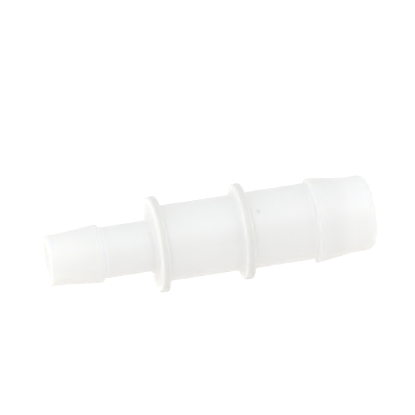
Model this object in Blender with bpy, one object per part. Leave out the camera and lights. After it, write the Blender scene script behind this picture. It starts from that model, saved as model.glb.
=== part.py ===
"""Reducing hose coupling: one moulding that joins two sizes of flexible hose.

The axis is X, the small barb points to -X, and the origin is on the axis at mid-length.
Run with: blender --background --python part.py
"""

import math

import bmesh
import bpy

MM = 0.001

# Driving dimensions, in millimetres. Positions along the axis are distances from the small end.
LENGTH = 83.6

# The two collars that the hoses stop against.
COLLAR_D = 24.5
COLLAR_THICKNESS = 2.1
COLLAR_EDGE_R = 0.45
SMALL_COLLAR_FACE = 27.35
LARGE_COLLAR_FACE = 49.25
COLLAR_FACE_ROOT_R = 2.0  # fillet on the side nearer the small end
COLLAR_BACK_ROOT_R = 0.5  # fillet on the other side

# Middle body.
BODY_D = 19.3

# Small end, for hose of 1/2 in (12.7 mm) bore.
SMALL_NOSE_D = 13.0
SMALL_NOSE_LENGTH = 3.0
SMALL_NOSE_R = 0.3
SMALL_RIDGE_D = 14.6
SMALL_RIDGE_LAND = 2.0
SMALL_RIDGE_BACK = 13.6
SMALL_SHANK_D = 13.0
SMALL_BORE_D = 9.5
SMALL_BORE_EDGE_R = 0.3

# Large end, for hose of 3/4 in (19.05 mm) bore.
LARGE_NOSE_D = 19.25
LARGE_NOSE_LENGTH = 5.6
LARGE_NOSE_R = 2.2
LARGE_RIDGE_D = 21.7
LARGE_RIDGE_BACK = 68.3
LARGE_SHANK_D = 19.5
LARGE_BORE_D = 13.8
LARGE_BORE_EDGE_R = 0.15

# The edge and the root of each ridge's square back.
RIDGE_EDGE_R = 0.2
RIDGE_ROOT_R = 0.4

# Where the small bore opens out into the large one.
BORE_CONE_START = 26.5
BORE_CONE_END = 31.0

# How finely the turned shape is faceted.
SEGMENTS = 48  # flats round the axis, one of them facing straight down
SMALL_ARC_STEPS = 2  # straight steps in a rounded corner
LARGE_ARC_STEPS = 5
LARGE_ARC_R = 1.0  # a corner rounded at least this much gets the larger number of steps

PLASTIC_COLOUR = (0.86, 0.87, 0.85, 1.0)
PLASTIC_ROUGHNESS = 0.38
PLASTIC_TRANSMISSION = 0.25


def clear_scene():
    for obj in list(bpy.data.objects):
        bpy.data.objects.remove(obj, do_unlink=True)


def profile_corners():
    """The closed half-section, (distance from the small end, radius, corner radius) at each corner."""
    small_cone_end = SMALL_RIDGE_BACK - SMALL_RIDGE_LAND
    small_collar_back = SMALL_COLLAR_FACE + COLLAR_THICKNESS
    large_collar_back = LARGE_COLLAR_FACE + COLLAR_THICKNESS
    outside = [
        (0.0, SMALL_NOSE_D / 2, SMALL_NOSE_R),
        (SMALL_NOSE_LENGTH, SMALL_NOSE_D / 2, 0.0),
        (small_cone_end, SMALL_RIDGE_D / 2, 0.0),
        (SMALL_RIDGE_BACK, SMALL_RIDGE_D / 2, RIDGE_EDGE_R),
        (SMALL_RIDGE_BACK, SMALL_SHANK_D / 2, RIDGE_ROOT_R),
        (SMALL_COLLAR_FACE, SMALL_SHANK_D / 2, COLLAR_FACE_ROOT_R),
        (SMALL_COLLAR_FACE, COLLAR_D / 2, COLLAR_EDGE_R),
        (small_collar_back, COLLAR_D / 2, COLLAR_EDGE_R),
        (small_collar_back, BODY_D / 2, COLLAR_BACK_ROOT_R),
        (LARGE_COLLAR_FACE, BODY_D / 2, COLLAR_FACE_ROOT_R),
        (LARGE_COLLAR_FACE, COLLAR_D / 2, COLLAR_EDGE_R),
        (large_collar_back, COLLAR_D / 2, COLLAR_EDGE_R),
        (large_collar_back, LARGE_SHANK_D / 2, COLLAR_BACK_ROOT_R),
        (LARGE_RIDGE_BACK, LARGE_SHANK_D / 2, RIDGE_ROOT_R),
        (LARGE_RIDGE_BACK, LARGE_RIDGE_D / 2, RIDGE_EDGE_R),
        (LENGTH - LARGE_NOSE_LENGTH, LARGE_NOSE_D / 2, 0.0),
        (LENGTH, LARGE_NOSE_D / 2, LARGE_NOSE_R),
    ]
    inside = [
        (LENGTH, LARGE_BORE_D / 2, LARGE_BORE_EDGE_R),
        (BORE_CONE_END, LARGE_BORE_D / 2, 0.0),
        (BORE_CONE_START, SMALL_BORE_D / 2, 0.0),
        (0.0, SMALL_BORE_D / 2, SMALL_BORE_EDGE_R),
    ]
    return outside + inside


def unit(from_point, to_point):
    dx = to_point[0] - from_point[0]
    dr = to_point[1] - from_point[1]
    length = math.hypot(dx, dr)
    return dx / length, dr / length


def rounded_corner(before, corner, after, radius):
    """Points along the arc that rounds a corner, from the incoming side to the outgoing side."""
    back = unit(corner, before)
    ahead = unit(corner, after)
    half_angle = math.acos(back[0] * ahead[0] + back[1] * ahead[1]) / 2
    middle_length = math.hypot(back[0] + ahead[0], back[1] + ahead[1])
    reach = radius / math.sin(half_angle) / middle_length
    centre_x = corner[0] + (back[0] + ahead[0]) * reach
    centre_r = corner[1] + (back[1] + ahead[1]) * reach
    tangent = radius / math.tan(half_angle)
    start = (corner[0] + back[0] * tangent, corner[1] + back[1] * tangent)
    end = (corner[0] + ahead[0] * tangent, corner[1] + ahead[1] * tangent)
    first = math.atan2(start[1] - centre_r, start[0] - centre_x)
    last = math.atan2(end[1] - centre_r, end[0] - centre_x)
    sweep = (last - first + math.pi) % (2 * math.pi) - math.pi
    steps = LARGE_ARC_STEPS if radius >= LARGE_ARC_R else SMALL_ARC_STEPS
    angles = [first + sweep * step / steps for step in range(steps + 1)]
    return [(centre_x + radius * math.cos(a), centre_r + radius * math.sin(a)) for a in angles]


def profile_points(corners):
    """The half-section with its rounded corners drawn out, still as a closed loop."""
    points = []
    for index, (x, r, radius) in enumerate(corners):
        if radius == 0.0:
            points.append((x, r))
            continue
        before = corners[index - 1]
        after = corners[(index + 1) % len(corners)]
        points += rounded_corner(before, (x, r), after, radius)
    return points


def turned_ring(bm, x, r):
    """One ring of vertices round the X axis, with a flat between two of them at the bottom."""
    ring = []
    for index in range(SEGMENTS):
        angle = -math.pi / 2 + math.pi / SEGMENTS + 2 * math.pi * index / SEGMENTS
        position = (x - LENGTH / 2, r * math.cos(angle), r * math.sin(angle))
        ring.append(bm.verts.new([value * MM for value in position]))
    return ring


def turned_mesh(name, points):
    """A closed mesh made by turning a closed half-section about the X axis."""
    bm = bmesh.new()
    rings = [turned_ring(bm, x, r) for x, r in points]
    for ring, following in zip(rings, rings[1:] + rings[:1]):
        for index in range(SEGMENTS):
            ahead = (index + 1) % SEGMENTS
            bm.faces.new((ring[index], ring[ahead], following[ahead], following[index]))
    bmesh.ops.recalc_face_normals(bm, faces=bm.faces)
    mesh = bpy.data.meshes.new(name)
    bm.to_mesh(mesh)
    bm.free()
    mesh.shade_smooth()
    mesh.set_sharp_from_angle(angle=math.radians(30))
    return mesh


def natural_plastic():
    material = bpy.data.materials.new("natural_plastic")
    material.use_nodes = True
    shader = material.node_tree.nodes["Principled BSDF"]
    shader.inputs["Base Color"].default_value = PLASTIC_COLOUR
    shader.inputs["Roughness"].default_value = PLASTIC_ROUGHNESS
    shader.inputs["Metallic"].default_value = 0.0
    shader.inputs["Transmission Weight"].default_value = PLASTIC_TRANSMISSION
    material.diffuse_color = PLASTIC_COLOUR
    return material


def coupling_body():
    mesh = turned_mesh("coupling_body", profile_points(profile_corners()))
    mesh.materials.append(natural_plastic())
    obj = bpy.data.objects.new("coupling_body", mesh)
    bpy.context.scene.collection.objects.link(obj)
    return obj


def main():
    clear_scene()
    coupling_body()


main()
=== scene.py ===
"""The looks of the reducing hose coupling: one milky plastic moulding on a white lit table."""

import math

import bmesh
import bpy
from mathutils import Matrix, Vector, noise


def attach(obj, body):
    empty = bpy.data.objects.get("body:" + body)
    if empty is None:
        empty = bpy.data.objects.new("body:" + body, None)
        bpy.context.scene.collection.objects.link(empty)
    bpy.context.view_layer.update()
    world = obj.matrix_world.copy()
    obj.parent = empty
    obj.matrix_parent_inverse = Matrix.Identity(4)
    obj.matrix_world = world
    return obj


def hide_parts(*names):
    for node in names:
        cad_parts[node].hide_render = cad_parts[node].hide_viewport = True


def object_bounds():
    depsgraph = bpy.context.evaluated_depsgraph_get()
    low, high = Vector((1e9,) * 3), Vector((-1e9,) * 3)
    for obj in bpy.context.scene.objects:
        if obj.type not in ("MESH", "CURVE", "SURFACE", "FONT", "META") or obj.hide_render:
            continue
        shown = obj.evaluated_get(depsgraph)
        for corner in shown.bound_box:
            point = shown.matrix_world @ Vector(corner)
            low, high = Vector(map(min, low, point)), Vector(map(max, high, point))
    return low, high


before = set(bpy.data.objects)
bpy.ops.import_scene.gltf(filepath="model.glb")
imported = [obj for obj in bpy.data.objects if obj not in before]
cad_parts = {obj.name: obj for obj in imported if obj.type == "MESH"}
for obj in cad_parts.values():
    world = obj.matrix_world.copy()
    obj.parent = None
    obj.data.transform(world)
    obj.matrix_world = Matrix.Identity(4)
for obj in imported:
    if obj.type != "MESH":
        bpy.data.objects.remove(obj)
CAD_LOW, CAD_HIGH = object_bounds()

MM = 0.001

# Sizes in millimetres. Positions along the axis are distances from the small end, as in the CAD.
LENGTH = (CAD_HIGH.x - CAD_LOW.x) / MM
COLLAR_D = 24.5
COLLAR_THICKNESS = 2.1
COLLAR_EDGE_R = 0.45
SMALL_COLLAR_FACE = 27.35
LARGE_COLLAR_FACE = 49.25
COLLAR_FACE_ROOT_R = 2.0
COLLAR_BACK_ROOT_R = 0.5
BODY_D = 19.3

SMALL_NOSE_D = 13.0
SMALL_NOSE_LENGTH = 3.0
SMALL_NOSE_R = 0.3
SMALL_RIDGE_D = 14.6
SMALL_RIDGE_LAND = 2.0
SMALL_RIDGE_BACK = 13.6
SMALL_SHANK_D = 13.0
SMALL_BORE_D = 9.5
SMALL_BORE_EDGE_R = 0.3

LARGE_NOSE_D = 19.25
LARGE_NOSE_LENGTH = 5.6
LARGE_NOSE_R = 2.2
LARGE_RIDGE_D = 21.7
LARGE_RIDGE_BACK = 68.3
LARGE_SHANK_D = 19.5
LARGE_BORE_D = 13.8
LARGE_BORE_EDGE_R = 0.15

RIDGE_EDGE_R = 0.25
SMALL_RIDGE_ROOT_R = 0.45
LARGE_RIDGE_ROOT_R = 0.75
CONE_BLEND_R = 6.0  # where a cone runs into a straight nose or land
BORE_CONE_START = 26.5
BORE_CONE_END = 31.0
BORE_BLEND_R = 1.5

# How finely the moulding is drawn.
ROUND_STEPS = 200
ARC_STEP = math.radians(9)
RING_GAP = 1.0
LEAST_ANGLE = 0.002

# The fine line left where the two halves of the mould meet, on opposite sides of the part.
SPLIT_ANGLES = (math.radians(20.7), math.radians(200.7))
SPLIT_HEIGHT = 0.05
SPLIT_HALF_WIDTH = 0.11
SPLIT_SAMPLES = (-0.36, -0.22, -0.13, -0.06, 0.0, 0.06, 0.13, 0.22, 0.36)

# The scar of the injection gate: a shallow dish with a torn pit in it, on top beside the large collar.
GATE_ANGLE = math.radians(110.7)
GATE_X = 53.7
DISH_R = 0.75
DISH_DEPTH = 0.1
PIT_R = 0.3
PIT_DEPTH = 0.15
SCAR_EDGE = 0.1
GATE_STEP = 0.1
GATE_REACH = 1.0

# Slow waviness of the skin, from uneven shrinkage.
WAVE_HEIGHT = 0.02
WAVE_LENGTH = 7.0

# Colours of the plastic. PLASTIC and CLOUDED are its own colours; the others paint light and shade into
# it.
# Painted light: near white in the bore, where light comes in through the wall.
PAINTED_BORE_LIGHT = (0.999, 0.998, 0.99, 1.0)
PAINTED_LIGHT = (0.97, 0.968, 0.96, 1.0)  # painted light on the collars' flats and towards the large mouth
# Painted light in the roots behind the ridges, where shade falls.
PAINTED_ROOT_LIGHT = (0.93, 0.929, 0.921, 1.0)
PLASTIC = (0.885, 0.884, 0.876, 1.0)
CLOUDED = (0.870, 0.872, 0.862, 1.0)
# Painted shade on the back edges of the ridges.
PAINTED_EDGE_SHADE = (0.85, 0.849, 0.841, 1.0)
# Painted shade in and round the pit of the gate's scar.
PAINTED_PIT_SHADE = (0.835, 0.835, 0.825, 1.0)
PAINTED_RIM_SHADE = (0.765, 0.765, 0.755, 1.0)  # painted shade on the rims of the collars

# Where one colour blends into another, in millimetres.
MOUTH_DISTANCES = (12.0, 1.0)  # from the large mouth
COLLAR_FLAT_RADII = (10.5, 11.2)
COLLAR_RIM_RADII = (11.2, 11.7)
ROOT_DISTANCES = (0.5, 1.6)  # from the plane of a ridge's back
EDGE_DISTANCES = (0.3, 1.1)
STEP_BLEND = 0.1
PIT_DISTANCES = (PIT_R, 2 * PIT_R)
BORE_RADII = (-3.0, -1.0)  # counted as negative, because the skin faces the axis

# The same by how squarely the skin faces out: 0 on a flat across the axis, 1 on a cylinder round it.
FLAT_FACING = (0.2, 0.6)
RIM_FACING = (0.02, 0.15)

# Noise in the plastic: scale and detail of the clouds in it, of its sheen and of its grain.
CLOUDS = (90.0, 3.0)
CLOUD_RANGE = (0.35, 0.7)
SHEEN = (400.0, 2.0)
SHEEN_RANGE = (0.3, 0.7)
GRAIN = (1500.0, 4.0)
GRAIN_HEIGHT = 0.00005
GRAIN_STRENGTH = 0.25

ROUGHNESS = (0.32, 0.44)
SCATTER_LENGTH = 0.0016
SCATTER_BY_COLOUR = (1.0, 1.0, 0.9)
REFRACTIVE_INDEX = 1.49

# The ends of a blend that grows and of one that fades.
GROWING = (0.0, 1.0)
FADING = (1.0, 0.0)

# The stage, in metres: a square white table top with a round white wall on it.
TABLE_HALF = 3.0
WALL_RADIUS = 2.9
WALL_HEIGHT = 4.0
WALL_STEPS = 64
LIGHTING_RAYS = ("diffuse", "glossy", "transmission", "volume_scatter", "shadow")
CAMERA_RAYS = ("camera",)
STAGE_ROUGHNESS = 0.8
TABLE_GREY = 0.1

WHITE = (1.0, 1.0, 1.0, 1.0)
WARM_WHITE = (1.0, 0.976, 0.943, 1.0)
COOL_WHITE = (0.985, 0.992, 1.0, 1.0)
SEEN_STRENGTH = 1.02
TABLE_LIGHT_STRENGTH = 0.87
SURROUNDINGS_STRENGTH = 0.63

COOL_LAMP = (0.965, 0.985, 1.0)
PLAIN_LAMP = (1.0, 1.0, 1.0)

# Soft boxes, all aimed at the middle of the part: name, place, size, power in watts, colour.
# Their powers, TABLE_LIGHT_STRENGTH and SURROUNDINGS_STRENGTH were fitted to the photo's brightness,
# and rounded.
SOFT_BOXES = [
    ("top_light", (0.0, 0.0, 0.7), (0.9, 0.6), 0.72, COOL_LAMP),
    ("front_top_light", (0.0, -0.3, 0.6), (0.8, 0.4), 0.75, COOL_LAMP),
    ("front_left_high_light", (-0.22, -0.35, 0.5), (0.3, 0.3), 0.16, PLAIN_LAMP),
    ("front_right_light", (0.3, -0.35, 0.35), (0.3, 0.3), 0.08, PLAIN_LAMP),
    ("left_back_light", (-0.5, 0.35, 0.2), (0.35, 0.3), 0.45, PLAIN_LAMP),
    ("left_wall_light", (-0.55, -0.1, 0.22), (0.5, 0.35), 0.37, PLAIN_LAMP),
    ("left_low_light", (-0.6, 0.0, 0.02), (0.3, 0.05), 0.22, PLAIN_LAMP),
    ("right_light", (0.45, 0.0, 0.3), (0.3, 0.3), 0.29, PLAIN_LAMP),
]

# The lamp inside the small bore.
BORE_LAMP_POWER = 0.0002
BORE_LAMP_RADIUS = 0.003
BORE_LAMP_DEPTH = 0.005

# The camera: its direction in degrees, and its distance, the width it sees and its shift in metres.
CAMERA_AZIMUTH = -13.0
CAMERA_ELEVATION = 41.6
CAMERA_DISTANCE = 1.2
VIEW_WIDTH = 0.1048
VIEW_UP = 0.0073
VIEW_LEFT = 0.0004
SENSOR_WIDTH = 36.0
CLIP_RANGE = (0.05, 20.0)

ALONG_AXIS = (1.0, 0.0, 0.0)
ACROSS_AXIS = (0.0, 1.0, 1.0)


# ---------------------------------------------------------------- shape


def outer_corners():
    """(distance from the small end, radius, corner radius) along the outside, small end first."""
    small_collar_back = SMALL_COLLAR_FACE + COLLAR_THICKNESS
    large_collar_back = LARGE_COLLAR_FACE + COLLAR_THICKNESS
    return [
        (0.0, SMALL_NOSE_D / 2, SMALL_NOSE_R),
        (SMALL_NOSE_LENGTH, SMALL_NOSE_D / 2, CONE_BLEND_R),
        (SMALL_RIDGE_BACK - SMALL_RIDGE_LAND, SMALL_RIDGE_D / 2, CONE_BLEND_R),
        (SMALL_RIDGE_BACK, SMALL_RIDGE_D / 2, RIDGE_EDGE_R),
        (SMALL_RIDGE_BACK, SMALL_SHANK_D / 2, SMALL_RIDGE_ROOT_R),
        (SMALL_COLLAR_FACE, SMALL_SHANK_D / 2, COLLAR_FACE_ROOT_R),
        (SMALL_COLLAR_FACE, COLLAR_D / 2, COLLAR_EDGE_R),
        (small_collar_back, COLLAR_D / 2, COLLAR_EDGE_R),
        (small_collar_back, BODY_D / 2, COLLAR_BACK_ROOT_R),
        (LARGE_COLLAR_FACE, BODY_D / 2, COLLAR_FACE_ROOT_R),
        (LARGE_COLLAR_FACE, COLLAR_D / 2, COLLAR_EDGE_R),
        (large_collar_back, COLLAR_D / 2, COLLAR_EDGE_R),
        (large_collar_back, LARGE_SHANK_D / 2, COLLAR_BACK_ROOT_R),
        (LARGE_RIDGE_BACK, LARGE_SHANK_D / 2, LARGE_RIDGE_ROOT_R),
        (LARGE_RIDGE_BACK, LARGE_RIDGE_D / 2, RIDGE_EDGE_R),
        (LENGTH - LARGE_NOSE_LENGTH, LARGE_NOSE_D / 2, CONE_BLEND_R),
        (LENGTH, LARGE_NOSE_D / 2, LARGE_NOSE_R),
    ]


def bore_corners():
    """The same along the bore, large end first."""
    return [
        (LENGTH, LARGE_BORE_D / 2, LARGE_BORE_EDGE_R),
        (BORE_CONE_END, LARGE_BORE_D / 2, BORE_BLEND_R),
        (BORE_CONE_START, SMALL_BORE_D / 2, BORE_BLEND_R),
        (0.0, SMALL_BORE_D / 2, SMALL_BORE_EDGE_R),
    ]


def rounded_corner(before, corner, after, radius):
    """Points along the arc of this radius that rounds a corner of the profile."""
    corner = Vector(corner)
    back = (Vector(before) - corner).normalized()
    ahead = (Vector(after) - corner).normalized()
    half_angle = back.angle(ahead) / 2
    centre = corner + (back + ahead).normalized() * radius / math.sin(half_angle)
    start = corner + back * radius / math.tan(half_angle)
    first = math.atan2(*(start - centre).yx)
    sweep = math.pi - 2 * half_angle
    if back.cross(ahead) > 0:
        sweep = -sweep
    steps = max(2, math.ceil(abs(sweep) / ARC_STEP))
    angles = [first + sweep * step / steps for step in range(steps + 1)]
    return [centre + radius * Vector((math.cos(a), math.sin(a))) for a in angles]


def filled_in(points):
    """The same line with no two points further apart than RING_GAP."""
    line = []
    for point, following in zip(points, points[1:]):
        parts = math.ceil((following - point).length / RING_GAP)
        line += [point.lerp(following, part / parts) for part in range(parts)]
    return line + [points[-1]]


def with_gate_rings(points):
    """The same line with close rings round the gate's scar."""
    count = round(2 * GATE_REACH / GATE_STEP)
    radius = LARGE_SHANK_D / 2
    close = [Vector((GATE_X - GATE_REACH + GATE_STEP * i, radius)) for i in range(count + 1)]
    before = [p for p in points if p.x < close[0].x]
    after = [p for p in points if p.x > close[-1].x]
    return before + close + after


def profile():
    """The closed half-section as points, and how many of them are on the outside."""
    outer = outer_corners()
    corners = outer + bore_corners()
    outside, inside = [], []
    for index, (x, r, radius) in enumerate(corners):
        before = corners[index - 1][:2]
        after = corners[(index + 1) % len(corners)][:2]
        arc = rounded_corner(before, (x, r), after, radius)
        (outside if index < len(outer) else inside).extend(arc)
    outside = with_gate_rings(filled_in(outside))
    inside = filled_in(inside)
    return outside + inside, len(outside)


def angles_round_axis():
    """Even angles, with close ones added at the split lines and at the gate's scar."""
    angles = {round(2 * math.pi * i / ROUND_STEPS, 6) for i in range(ROUND_STEPS)}
    radius = BODY_D / 2
    for split in SPLIT_ANGLES:
        angles |= {round(split + offset / radius, 6) for offset in SPLIT_SAMPLES}
    count = round(GATE_REACH / GATE_STEP)
    for i in range(-count, count + 1):
        angles.add(round(GATE_ANGLE + i * GATE_STEP / radius, 6))
    kept = []
    for angle in sorted(angles):
        if not kept or angle - kept[-1] > LEAST_ANGLE:
            kept.append(angle)
    return kept


def angle_between(a, b):
    return (a - b + math.pi) % (2 * math.pi) - math.pi


def split_line(angle, r):
    height = 0.0
    for split in SPLIT_ANGLES:
        across = angle_between(angle, split) * r
        height += SPLIT_HEIGHT * math.exp(-((across / SPLIT_HALF_WIDTH) ** 2))
    return height


def soft_disc(distance, radius, edge):
    """1 inside a disc of this radius and 0 outside it, with an edge of this softness."""
    return 0.5 - 0.5 * math.tanh((distance - radius) / edge)


def gate_scar(x, angle, r):
    distance = math.hypot(x - GATE_X, angle_between(angle, GATE_ANGLE) * r)
    pit = PIT_DEPTH * soft_disc(distance, PIT_R, SCAR_EDGE)
    return -pit - DISH_DEPTH * soft_disc(distance, DISH_R, SCAR_EDGE)


def waviness(x, angle, r):
    place = Vector((x, r * math.cos(angle), r * math.sin(angle))) / WAVE_LENGTH
    return WAVE_HEIGHT * noise.noise(place)


def moulding_mesh(name):
    """The moulding: its half-section turned round the axis, with the marks of the mould on it."""
    points, outside = profile()
    angles = angles_round_axis()
    bm = bmesh.new()
    rings = []
    for index, (x, r) in enumerate(points):
        ring = []
        for angle in angles:
            radius = r + waviness(x, angle, r)
            if index < outside:
                radius += split_line(angle, r) + gate_scar(x, angle, r)
            place = (x * MM + CAD_LOW.x, radius * math.cos(angle) * MM, radius * math.sin(angle) * MM)
            ring.append(bm.verts.new(place))
        rings.append(ring)
    for ring, following in zip(rings, rings[1:] + rings[:1]):
        for i in range(len(angles)):
            j = (i + 1) % len(angles)
            bm.faces.new((ring[i], ring[j], following[j], following[i]))
    bmesh.ops.recalc_face_normals(bm, faces=bm.faces)
    mesh = bpy.data.meshes.new(name)
    bm.to_mesh(mesh)
    bm.free()
    mesh.shade_smooth()
    return mesh


# ---------------------------------------------------------------- materials


def new_material(name):
    material = bpy.data.materials.new(name)
    material.use_nodes = True
    return material, material.node_tree.nodes["Principled BSDF"]


def noise_node(tree, coordinate, scale, detail):
    texture = tree.nodes.new("ShaderNodeTexNoise")
    texture.inputs["Scale"].default_value = scale
    texture.inputs["Detail"].default_value = detail
    tree.links.new(coordinate, texture.inputs["Vector"])
    return texture.outputs["Fac"]


def spread(tree, value, from_range, to_range):
    node = tree.nodes.new("ShaderNodeMapRange")
    node.interpolation_type = "SMOOTHSTEP"
    node.inputs["From Min"].default_value = from_range[0]
    node.inputs["From Max"].default_value = from_range[1]
    node.inputs["To Min"].default_value = to_range[0]
    node.inputs["To Max"].default_value = to_range[1]
    tree.links.new(value, node.inputs["Value"])
    return node.outputs["Result"]


def spread_mm(tree, length, from_range, to_range):
    """The same for a length, with the range given in millimetres."""
    return spread(tree, length, [end * MM for end in from_range], to_range)


def blended(tree, share, first, second):
    """A colour between two. The first is a colour or another node's output."""
    node = tree.nodes.new("ShaderNodeMix")
    node.data_type = "RGBA"
    tree.links.new(share, node.inputs["Factor"])
    if isinstance(first, tuple):
        node.inputs["A"].default_value = first
    else:
        tree.links.new(first, node.inputs["A"])
    node.inputs["B"].default_value = second
    return node.outputs["Result"]


def vector_maths(tree, operation, first, second=None):
    """A vector maths node, with a fixed vector or another node's output as its second input."""
    node = tree.nodes.new("ShaderNodeVectorMath")
    node.operation = operation
    tree.links.new(first, node.inputs[0])
    if isinstance(second, tuple):
        node.inputs[1].default_value = second
    elif second is not None:
        tree.links.new(second, node.inputs[1])
    return node.outputs["Value" if operation in ("LENGTH", "DISTANCE", "DOT_PRODUCT") else "Vector"]


def product(tree, first, second):
    node = tree.nodes.new("ShaderNodeMath")
    node.operation = "MULTIPLY"
    tree.links.new(first, node.inputs[0])
    tree.links.new(second, node.inputs[1])
    return node.outputs["Value"]


def ridge_with_painted_light_and_shade(tree, colour, along, radius, back, middle):
    """The colour behind a ridge's back: painted light, paler, in the root behind it where shade falls,
    and painted shade, deeper, on its edge.
    """
    from_back = vector_maths(tree, "DISTANCE", along, (CAD_LOW.x + back * MM, 0.0, 0.0))
    step = (middle - STEP_BLEND, middle + STEP_BLEND)
    near_root = spread_mm(tree, from_back, ROOT_DISTANCES, FADING)
    near_edge = spread_mm(tree, from_back, EDGE_DISTANCES, FADING)
    root = product(tree, near_root, spread_mm(tree, radius, step, FADING))
    edge = product(tree, near_edge, spread_mm(tree, radius, step, GROWING))
    return blended(tree, edge, blended(tree, root, colour, PAINTED_ROOT_LIGHT), PAINTED_EDGE_SHADE)


# Painted shade: darker round the pit of the gate's scar.
def with_painted_pit_shade(tree, colour, place):
    gate = Vector((0.0, math.cos(GATE_ANGLE), math.sin(GATE_ANGLE))) * LARGE_SHANK_D / 2 * MM
    gate.x = CAD_LOW.x + GATE_X * MM
    from_gate = vector_maths(tree, "DISTANCE", place, tuple(gate))
    return blended(tree, spread_mm(tree, from_gate, PIT_DISTANCES, FADING), colour, PAINTED_PIT_SHADE)


def plastic_colour(tree, place, normal):
    """The colour at a place on the part: cloudy, with painted light in the bore, on the collars' flats,
    towards the large mouth and in the ridges' roots, and painted shade on the ridges' edges, the collars'
    rims and in the gate's pit.
    """
    along = vector_maths(tree, "MULTIPLY", place, ALONG_AXIS)
    across = vector_maths(tree, "MULTIPLY", place, ACROSS_AXIS)
    position = vector_maths(tree, "DOT_PRODUCT", place, ALONG_AXIS)
    radius = vector_maths(tree, "LENGTH", across)
    facing_out = vector_maths(tree, "LENGTH", vector_maths(tree, "MULTIPLY", normal, ACROSS_AXIS))
    outward = vector_maths(tree, "DOT_PRODUCT", across, normal)

    cloud = spread(tree, noise_node(tree, place, *CLOUDS), CLOUD_RANGE, GROWING)
    small_middle = (SMALL_SHANK_D + SMALL_RIDGE_D) / 4
    large_middle = (LARGE_SHANK_D + LARGE_RIDGE_D) / 4
    mouth = [CAD_HIGH.x - distance * MM for distance in MOUTH_DISTANCES]
    # Masks for painted light on the collars' flats and painted shade on their rims.
    on_collar = spread_mm(tree, radius, COLLAR_FLAT_RADII, GROWING)
    flat = product(tree, on_collar, spread(tree, facing_out, FLAT_FACING, FADING))
    far_out = spread_mm(tree, radius, COLLAR_RIM_RADII, GROWING)
    rim = product(tree, far_out, spread(tree, facing_out, RIM_FACING, GROWING))
    in_bore = spread_mm(tree, outward, BORE_RADII, FADING)

    colour = blended(tree, cloud, PLASTIC, CLOUDED)
    # Painted light in the ridges' roots and painted shade on their back edges.
    colour = ridge_with_painted_light_and_shade(tree, colour, along, radius, SMALL_RIDGE_BACK, small_middle)
    colour = ridge_with_painted_light_and_shade(tree, colour, along, radius, LARGE_RIDGE_BACK, large_middle)
    # Painted light towards the large mouth.
    colour = blended(tree, spread(tree, position, mouth, GROWING), colour, PAINTED_LIGHT)
    # Painted light on the collars' flats.
    colour = blended(tree, flat, colour, PAINTED_LIGHT)
    # Painted shade on the collars' rims.
    colour = blended(tree, rim, colour, PAINTED_RIM_SHADE)
    # Painted shade round the gate's pit.
    colour = with_painted_pit_shade(tree, colour, place)
    # Painted light in the bore.
    return blended(tree, in_bore, colour, PAINTED_BORE_LIGHT)


def milky_plastic():
    material, shader = new_material("milky_plastic")
    tree = material.node_tree
    coordinates = tree.nodes.new("ShaderNodeTexCoord").outputs
    place = coordinates["Object"]
    colour = plastic_colour(tree, place, coordinates["Normal"])
    tree.links.new(colour, shader.inputs["Base Color"])
    roughness = spread(tree, noise_node(tree, place, *SHEEN), SHEEN_RANGE, ROUGHNESS)
    tree.links.new(roughness, shader.inputs["Roughness"])
    shader.inputs["Subsurface Weight"].default_value = 1.0
    shader.inputs["Subsurface Radius"].default_value = SCATTER_BY_COLOUR
    shader.inputs["Subsurface Scale"].default_value = SCATTER_LENGTH
    shader.inputs["IOR"].default_value = REFRACTIVE_INDEX
    bump = tree.nodes.new("ShaderNodeBump")
    bump.inputs["Strength"].default_value = GRAIN_STRENGTH
    bump.inputs["Distance"].default_value = GRAIN_HEIGHT
    tree.links.new(noise_node(tree, place, *GRAIN), bump.inputs["Height"])
    tree.links.new(bump.outputs["Normal"], shader.inputs["Normal"])
    return material


def glowing_white(name, grey, colour, strength):
    material, shader = new_material(name)
    shader.inputs["Base Color"].default_value = (grey, grey, grey, 1.0)
    shader.inputs["Roughness"].default_value = STAGE_ROUGHNESS
    shader.inputs["Emission Color"].default_value = colour
    shader.inputs["Emission Strength"].default_value = strength
    return material


# ---------------------------------------------------------------- pieces


def link(name, data):
    obj = bpy.data.objects.new(name, data)
    bpy.context.scene.collection.objects.link(obj)
    return obj


def moulding():
    piece = link("coupling_moulding", moulding_mesh("coupling_moulding"))
    piece.data.materials.append(milky_plastic())
    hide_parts("coupling_body")
    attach(piece, "root")


def stage_piece(name, bm, material, unseen_by):
    """A piece of the stage, standing at the part's lowest point, that some kinds of ray pass through."""
    mesh = bpy.data.meshes.new(name)
    bm.to_mesh(mesh)
    bm.free()
    mesh.materials.append(material)
    piece = link(name, mesh)
    piece.location.z = CAD_LOW.z
    for ray in unseen_by:
        setattr(piece, "visible_" + ray, False)


def table_top(name, material, unseen_by):
    bm = bmesh.new()
    bmesh.ops.create_grid(bm, x_segments=1, y_segments=1, size=TABLE_HALF)
    stage_piece(name, bm, material, unseen_by)


def table():
    """A light table as two table tops in one place: one is only seen and the other only gives light."""
    table_top("table", glowing_white("table_white", 0.0, WHITE, SEEN_STRENGTH), LIGHTING_RAYS)
    glow = glowing_white("glow_white", TABLE_GREY, WARM_WHITE, TABLE_LIGHT_STRENGTH)
    table_top("table_glow", glow, CAMERA_RAYS)


def backdrop():
    """A white wall all round, on the table. It is only there to be seen, and gives the part no light."""
    bm = bmesh.new()
    bmesh.ops.create_circle(bm, segments=WALL_STEPS, radius=WALL_RADIUS, cap_ends=False)
    wall = bmesh.ops.extrude_edge_only(bm, edges=bm.edges[:])
    raised = [item for item in wall["geom"] if isinstance(item, bmesh.types.BMVert)]
    bmesh.ops.translate(bm, verts=raised, vec=(0.0, 0.0, WALL_HEIGHT))
    white = glowing_white("backdrop_white", 0.0, WHITE, SEEN_STRENGTH)
    stage_piece("backdrop", bm, white, LIGHTING_RAYS)


# ---------------------------------------------------------------- light and camera


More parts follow.
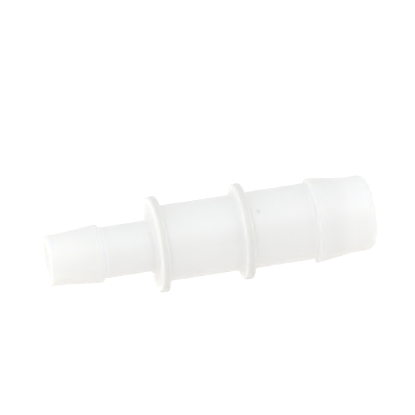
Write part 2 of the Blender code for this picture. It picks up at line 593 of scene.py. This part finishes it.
def aim(obj, target):
    obj.rotation_euler = (target - obj.location).to_track_quat("-Z", "Y").to_euler()


def lamp(name, kind, place, power):
    light = bpy.data.lights.new(name, kind)
    light.energy = power
    obj = link(name, light)
    obj.location = place
    obj.visible_camera = False
    return obj


def soft_box(name, place, size, power, colour):
    obj = lamp(name, "AREA", place, power)
    obj.data.shape = "RECTANGLE"
    obj.data.size, obj.data.size_y = size
    obj.data.color = colour
    aim(obj, Vector((0.0, 0.0, 0.0)))


def bore_glow():
    """A lamp in the small bore, for the light that shines in through the wall of the real plastic."""
    place = (CAD_LOW.x + BORE_LAMP_DEPTH, 0.0, 0.0)
    obj = lamp("bore_glow", "POINT", place, BORE_LAMP_POWER)
    obj.data.shadow_soft_size = BORE_LAMP_RADIUS


def surroundings(colour, strength):
    world = bpy.data.worlds.new("surroundings")
    world.use_nodes = True
    background = world.node_tree.nodes["Background"]
    background.inputs["Color"].default_value = colour
    background.inputs["Strength"].default_value = strength
    bpy.context.scene.world = world


def camera():
    azimuth, elevation = math.radians(CAMERA_AZIMUTH), math.radians(CAMERA_ELEVATION)
    across = Vector((math.cos(azimuth), math.sin(azimuth), 0.0))
    back = Vector((
        math.sin(azimuth) * math.cos(elevation),
        -math.cos(azimuth) * math.cos(elevation),
        math.sin(elevation),
    ))
    up = back.cross(across)
    data = bpy.data.cameras.new("camera")
    data.sensor_width = SENSOR_WIDTH
    data.lens = SENSOR_WIDTH * CAMERA_DISTANCE / VIEW_WIDTH
    data.clip_start, data.clip_end = CLIP_RANGE
    obj = link("camera", data)
    target = (CAD_LOW + CAD_HIGH) / 2 + up * VIEW_UP - across * VIEW_LEFT
    obj.location = target + back * CAMERA_DISTANCE
    aim(obj, target)
    bpy.context.scene.camera = obj


def main():
    bpy.context.scene.view_settings.view_transform = "Standard"
    camera()
    surroundings(COOL_WHITE, SURROUNDINGS_STRENGTH)
    for soft_box_values in SOFT_BOXES:
        soft_box(*soft_box_values)
    bore_glow()
    table()
    backdrop()
    moulding()


main()
